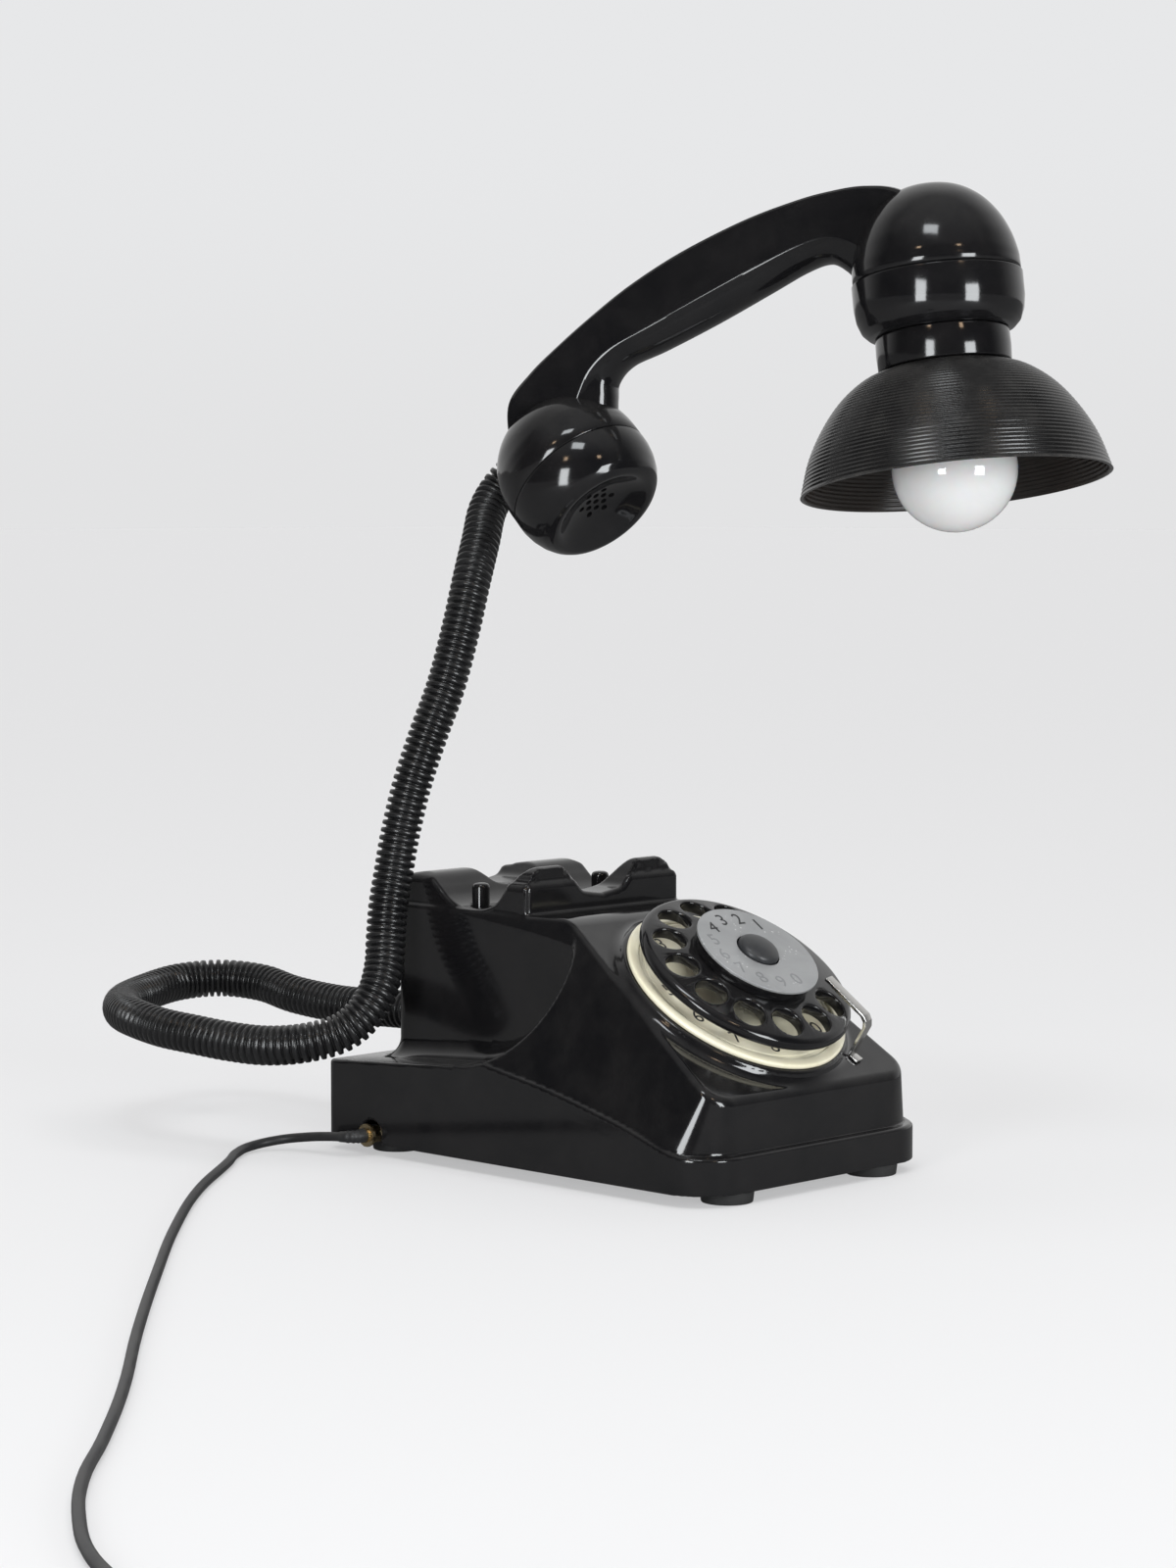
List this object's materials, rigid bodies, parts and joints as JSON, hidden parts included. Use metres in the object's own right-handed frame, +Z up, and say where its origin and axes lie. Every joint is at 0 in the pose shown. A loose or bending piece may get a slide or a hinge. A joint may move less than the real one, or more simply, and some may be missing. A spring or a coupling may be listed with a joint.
{
  "type": "rotary telephone desk lamp",
  "caption": "Black rotary desk telephone made into a lamp: the handset hangs on a corrugated gooseneck and holds a shade and an opal bulb.",
  "frame": {"origin": "on the surface it stands on, below the middle of the whole object's box, its cord aside", "axes": "+Z up; -Y towards the dial side; +X to the right of someone facing the dial"},
  "size_m": [0.7488, 0.8023, 0.4269],
  "materials": {
    "bakelite": "glossy black moulded Bakelite",
    "satin_black": "satin black moulded plastic",
    "hose": "satin black corrugated plastic hose",
    "spun_metal": "satin black lacquer on a spun metal bowl with fine rings",
    "cream": "cream plastic, slightly yellowed",
    "grey": "light grey satin printed disc",
    "dark_grey": "dark grey satin plastic",
    "chrome": "bright plated steel strip",
    "steel": "plain steel",
    "iron": "cast iron weight",
    "brass": "nickelled brass",
    "aluminium": "drawn aluminium",
    "rubber": "black rubber",
    "opal_glass": "opal white glass, unlit",
    "cord": "black cord sheath, matte"
  },
  "bodies": {
    "base": {"housing": "bakelite", "base_plate": "steel", "ballast_weight": "iron", "terminal_block": "cream", "cord_clamp": "steel", "cord_gland": "brass", "dial_ring": "cream", "number_plate": "cream", "dial_mechanism": "steel", "finger_stop": "chrome", "hook_bracket": "steel", "contact_stack": "dark_grey", "hose_nut_rear": "satin_black", "hose_loop": "hose", "cord": "cord", "cord_coil": "cord", "plug": "cord", "foot_front_left": "rubber", "foot_front_right": "rubber", "foot_rear_left": "rubber", "foot_rear_right": "rubber", "base_screw_front_left": "steel", "base_screw_front_right": "steel", "base_screw_rear_left": "steel", "base_screw_rear_right": "steel"},
    "dial_wheel": {"dial_shaft": "steel", "finger_wheel": "bakelite", "wheel_hub": "bakelite", "number_disc": "grey"},
    "dial_button": {"centre_knob": "dark_grey"},
    "plunger_left": {"plunger_left": "bakelite"},
    "plunger_right": {"plunger_right": "bakelite"},
    "hook_lever": {"hook_lever": "steel"},
    "hose_rise": {"hose_rise": "hose"},
    "hose_reach": {"hose_reach": "hose"},
    "handset": {"handset_shell": "bakelite", "hose_nut_upper": "satin_black", "mouthpiece_cap": "bakelite", "transmitter_capsule": "aluminium", "earpiece_cap": "bakelite", "shade_collar": "bakelite", "lampholder": "satin_black", "lamp_shade": "spun_metal", "shade_ring": "satin_black"},
    "lamp_bulb": {"bulb_cap": "aluminium", "bulb": "opal_glass"}
  },
  "joints": [
    {"name": "dial_turn", "type": "hinge", "parent": "base", "child": "dial_wheel", "pos_m": [0.0018, -0.0941, 0.07634], "axis": [0, 0.5592, -0.829], "range_deg": [0, 300], "stiffness_Nm_per_rad": 0.012, "springref_deg": -57.3},
    {"name": "dial_button_press", "type": "slide", "parent": "dial_wheel", "child": "dial_button", "axis": [0, 0.5592, -0.829], "range_m": [0, 0.002], "stiffness_N_per_m": 400, "springref_m": -0.002},
    {"name": "plunger_left_press", "type": "slide", "parent": "base", "child": "plunger_left", "axis": [0, 0, -1], "range_m": [0, 0.006], "stiffness_N_per_m": 250, "springref_m": -0.004},
    {"name": "plunger_right_press", "type": "slide", "parent": "base", "child": "plunger_right", "axis": [0, 0, -1], "range_m": [0, 0.006], "stiffness_N_per_m": 250, "springref_m": -0.004},
    {"name": "hook_lever_turn", "type": "hinge", "parent": "base", "child": "hook_lever", "pos_m": [0.0018, 0.0504, 0.0775], "axis": [1, 0, 0], "range_deg": [-0.01, 12.5], "stiffness_Nm_per_rad": 0.15, "springref_deg": -11.46},
    {"name": "hose_swing", "type": "hinge", "parent": "base", "child": "hose_rise", "pos_m": [-0.0939, 0.0515, 0.0572], "axis": [0, 0, 1], "range_deg": [-25, 25]},
    {"name": "hose_lean", "type": "hinge", "parent": "hose_rise", "child": "hose_reach", "pos_m": [-0.0423, 0.0489, 0.1868], "axis": [0.9198, 0.3816, -0.0919], "range_deg": [-15, 15]},
    {"name": "handset_nod", "type": "hinge", "parent": "hose_reach", "child": "handset", "pos_m": [0.0178, 0.0559, 0.303], "axis": [0.9198, 0.3816, -0.0919], "range_deg": [-20, 20]},
    {"name": "bulb_unscrew", "type": "slide", "parent": "handset", "child": "lamp_bulb", "axis": [-0.0531, -0.1702, -0.984], "range_m": [0, 0.012]}
  ],
  "couplings": [
    {"joint": "plunger_right_press", "follows": "plunger_left_press", "ratio": 1},
    {"joint": "hook_lever_turn", "follows": "plunger_left_press", "rad_per_m": 34}
  ]
}
